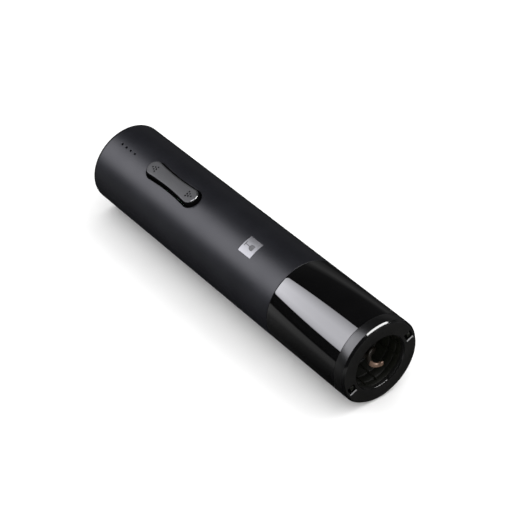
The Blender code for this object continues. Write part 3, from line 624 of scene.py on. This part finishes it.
cap_rim, cap_edge = length - 0.3, 22.0
cap_face, cap_back = cap_rim - 0.3, cap_rim - 2
end_cap = turned("rear_cap", [
    (cap_rim, cap_edge), (cap_rim, 20.4), (cap_face, 20.1), (cap_face, 0), (cap_back, 0), (cap_back, 20.6),
    (215, 20.6), (215, cap_edge)])
soften(end_cap, 0.15, 2, 30)
socket_middle = 16.95                           # from the opener's axis
port = block("port_tool", (3.9, 9.8, 6), (0, 0, 0))
soften(port, 1.2, 6, 80)
settle(port, spot(222, socket_middle), AXIS_TURN)
carve(end_cap, port)
smooth(end_cap, 28)
dress(end_cap, satin_black, node="rear_cap")


# ---- Charging socket ----
# A folded steel shell on the board faces the port in the end cap. A black tongue inside it carries five gilt
# contacts.

socket = block("charging_socket", (3.3, 9.0, 8.8), (0, 0, 0))
soften(socket, 0.9, 5, 80)
settle(socket, spot(215.9, socket_middle), AXIS_TURN)
hollow = block("hollow_tool", (2.5, 8.2, 8), (0, 0, 0))
soften(hollow, 0.6, 4, 80)
settle(hollow, spot(218, socket_middle), AXIS_TURN)
carve(socket, hollow)
steel = finish_of("steel", (0.42, 0.42, 0.43), (0.55, 0.55, 0.56), (0.22, 0.34), 900, 0.003, metallic=1.0,
                  draw=(8, 1, 1))
tongue_black = finish_of("tongue_black", (0.012, 0.012, 0.012), (0.018, 0.018, 0.018),
                         (0.4, 0.5), 1500, 0.004)
gilt = finish_of("gilt_contacts", (0.75, 0.52, 0.22), (0.85, 0.62, 0.30),
                 (0.2, 0.3), 1500, 0.002, metallic=1.0)
tongue = block("tongue_tool", (0.8, 6.4, 5), (0, 0, 0))
tongue.data.materials.append(tongue_black)
settle(tongue, spot(216.4, socket_middle), AXIS_TURN)
socket.data.materials.append(steel)
carve(socket, tongue, "UNION")
for step in range(5):
    contact = block("contact_tool", (0.2, 0.5, 3.4), (0, 0, 0))
    contact.data.materials.append(gilt)
    settle(contact, spot(216.8, socket_middle + 0.45, (step - 2) * 1.1), AXIS_TURN)
    carve(socket, contact, "UNION")
smooth(socket, 40)
dress(socket, steel, node="charging_socket")


# ---- Works inside the case ----
# The parts inside keep their shapes as they are: steel motor and shafts, acetal gears, bronze bush and
# pinion, wound armature, magnets, board, cells, leads and screws. The button's pin is painted near black as
# shade, where its end shows.

acetal = finish_of("gear_acetal", (0.62, 0.60, 0.54), (0.72, 0.70, 0.64), (0.35, 0.48), 1200, 0.006)
bronze = finish_of("bronze", (0.42, 0.24, 0.10), (0.55, 0.33, 0.15), (0.28, 0.42), 900, 0.004, metallic=1.0)
copper = finish_of("winding_copper", (0.45, 0.15, 0.06), (0.62, 0.24, 0.10),
                   (0.25, 0.4), 1400, 0.05, metallic=1.0, draw=(0.2, 1, 1))
ferrite = finish_of("magnet_ferrite", (0.020, 0.020, 0.022), (0.035, 0.035, 0.037), (0.5, 0.65), 1600, 0.02)
laminate = finish_of("board_laminate", (0.010, 0.085, 0.035), (0.018, 0.12, 0.05), (0.3, 0.42), 1100, 0.006)
cell_wrap = finish_of("cell_wrap", (0.02, 0.12, 0.36), (0.035, 0.16, 0.44), (0.24, 0.34), 300, 0.01)
red_lead = finish_of("red_lead", (0.38, 0.012, 0.010), (0.50, 0.020, 0.016), (0.38, 0.5), 900, 0.01)
black_lead = finish_of("black_lead", (0.010, 0.010, 0.010), (0.018, 0.018, 0.018), (0.38, 0.5), 900, 0.01)
finishes = {
    "clear_light_pipe_plastic": dark_clear, "gloss_black_plastic": gloss_black,
    "chassis_plastic": chassis_black, "gear_acetal_plastic": acetal, "steel": steel, "bronze": bronze,
    "winding_copper": copper, "magnet_ferrite": ferrite, "board_laminate": laminate, "cell_wrap": cell_wrap,
    "red_lead_insulation": red_lead, "black_lead_insulation": black_lead, "black_rubber": rubber,
    "satin_black_plastic": satin_black, "body_soft_touch_plastic": soft_touch,
    "smoked_window_plastic": smoked, "button_grey_plastic": matt_grey, "badge_silver": silver,
    "coated_worm_steel": coated}
for entry in frame["record"]["subparts"]:
    for holder in frame["nodes"][entry["node"]].material_slots:
        holder.material = finishes[entry["material_slot"]]
# The pin's near-black finish is painted shade where its end shows.
pin_painted_shade = finish_of("pin_painted_shade", (0.010, 0.010, 0.012), (0.018, 0.018, 0.021),
                        (0.45, 0.55), 900, 0.003, metallic=0.6, draw=(1, 8, 8), Specular_IOR_Level=0.1)
frame["nodes"]["rocker_pin"].material_slots[0].material = pin_painted_shade


# ---- Floor, lights and camera ----
# The opener lies on a plain white floor. A long soft box over its left side makes the band along the case, a
# second one up to the right catches the bright edge of the mouth, and a white sky fills the shadows. Polished
# surfaces mirror a darker sky with soft bands in it.

bpy.ops.object.select_all(action="DESELECT")
bpy.ops.mesh.primitive_plane_add(size=8)
floor = bpy.context.object
floor.name = "floor"
floor.data.materials.append(finish_of("white_floor", (0.94, 0.94, 0.94), (0.96, 0.96, 0.96),
                                      (0.9, 0.95), 300, 0.001, Specular_IOR_Level=0.0))
floor.visible_glossy = False


def grey_ramp(nodes, links, source, stops):
    """A ramp of greys over a value, given as (place, brightness) from its one end to the other."""
    made = nodes.new("ShaderNodeValToRGB")
    points = made.color_ramp.elements
    for place, _ in stops[1:-1]:
        points.new(place)
    for point, (_, brightness) in zip(points, stops):
        point.color = (brightness, brightness, brightness, 1)
    links.new(source, made.inputs["Fac"])
    return made.outputs["Color"]


world = bpy.context.scene.world or bpy.data.worlds.new("sky")
bpy.context.scene.world = world
world.use_nodes = True
sky = world.node_tree.nodes["Background"]
sky.inputs["Color"].default_value = (1, 1, 1, 1)
sky_nodes, sky_links = world.node_tree.nodes, world.node_tree.links
heading = sky_nodes.new("ShaderNodeSeparateXYZ")
sky_links.new(sky_nodes.new("ShaderNodeTexCoord").outputs["Generated"], heading.inputs["Vector"])
upward = sky_nodes.new("ShaderNodeMapRange")
upward.inputs["From Min"].default_value = -1
sky_links.new(heading.outputs["Z"], upward.inputs["Value"])
near_side = grey_ramp(sky_nodes, sky_links, upward.outputs["Result"], (
    (0, 0.01), (0.10, 0.015), (0.16, 0.05), (0.25, 0.15), (0.33, 0.46), (0.40, 0.5), (0.42, 0.02),
    (0.5, 0.04), (1, 0.04)))
far_side = grey_ramp(sky_nodes, sky_links, upward.outputs["Result"], (
    (0, 0.01), (0.35, 0.015), (0.47, 0.08), (0.58, 0.20), (0.68, 0.05), (1, 0.04)))
across = sky_nodes.new("ShaderNodeMapRange")
across.inputs["From Min"].default_value = -0.3
across.inputs["From Max"].default_value = 0.3
sky_links.new(heading.outputs["Y"], across.inputs["Value"])
both_sides = sky_nodes.new("ShaderNodeMix")
sky_links.new(across.outputs["Result"], both_sides.inputs["Factor"])
sky_links.new(near_side, both_sides.inputs["A"])
sky_links.new(far_side, both_sides.inputs["B"])
open_sky = 1.28
shade = sky_nodes.new("ShaderNodeMix")
shade.inputs["A"].default_value = open_sky
sky_links.new(sky_nodes.new("ShaderNodeLightPath").outputs["Is Glossy Ray"], shade.inputs["Factor"])
sky_links.new(both_sides.outputs["Result"], shade.inputs["B"])
sky_links.new(shade.outputs["Result"], sky.inputs["Strength"])


def soft_box(name, place, target, size, radiance, run=(1, 0, 0), colour=(1, 1, 1), glossy=True, diffuse=True):
    """A flat light at a place, facing the target, with its long side along run."""
    bpy.ops.object.light_add(type="AREA")
    box = bpy.context.object
    box.name = name
    box.data.shape = "RECTANGLE"
    box.data.size, box.data.size_y = size
    box.data.color = colour
    box.data.energy = radiance * math.pi * size[0] * size[1]
    back = (Vector(place) - Vector(target)).normalized()
    side = (Vector(run) - back * back.dot(Vector(run))).normalized()
    turn = Matrix((side, back.cross(side), back)).transposed().to_4x4()
    box.matrix_world = Matrix.Translation(place) @ turn
    box.visible_glossy = glossy
    box.visible_diffuse = diffuse
    box.visible_camera = False
    return box


long_box = soft_box("long_box", (-0.45, -0.402, 0.47), (-0.45, 0, AXIS_Z), (1.2, 0.738), 11,
                    colour=(0.985, 0.98, 1.04), diffuse=False)
long_box.data.use_nodes = True
glow_nodes, glow_links = long_box.data.node_tree.nodes, long_box.data.node_tree.links
glow_place = glow_nodes.new("ShaderNodeSeparateXYZ")
glow_links.new(glow_nodes.new("ShaderNodeNewGeometry").outputs["Parametric"], glow_place.inputs["Vector"])
glow = grey_ramp(glow_nodes, glow_links, glow_place.outputs["Y"], (
    (0, 0.62), (0.12, 0.85), (0.3, 1.0), (0.6, 0.98), (0.85, 0.7), (1, 0.5)))
glow_links.new(glow, glow_nodes["Emission"].inputs["Strength"])
mouth_centre = Vector((MOUTH_X, 0, AXIS_Z))
soft_box("edge_box", mouth_centre + Vector((0.405, 0.306, 0.72)), mouth_centre, (0.86, 0.28), 22,
         run=(0.249, -0.821, 0.248), diffuse=False)
soft_box("mouth_fill", (0.75, -0.25, 0.45), mouth_centre, (0.3, 0.3), 1.9,
         colour=(1, 0.97, 0.90), glossy=False)
soft_box("key", (0.35, 0.9, 1.3), (0, 0, AXIS_Z), (0.8, 0.8), 2.2, glossy=False)

camera_data = bpy.data.cameras.new("camera")
camera_data.lens = 123
camera = bpy.data.objects.new("camera", camera_data)
bpy.context.scene.collection.objects.link(camera)
camera_stand = Vector((19.834, -18.535, 23.648))    # from the mouth, in body radii
camera_aim = Vector((-0.62644, 0.48348, -0.61141))
camera.location = mouth_centre + camera_stand * AXIS_Z
camera.rotation_euler = camera_aim.to_track_quat("-Z", "Y").to_euler()
bpy.context.scene.camera = camera
bpy.context.scene.view_settings.view_transform = "Standard"
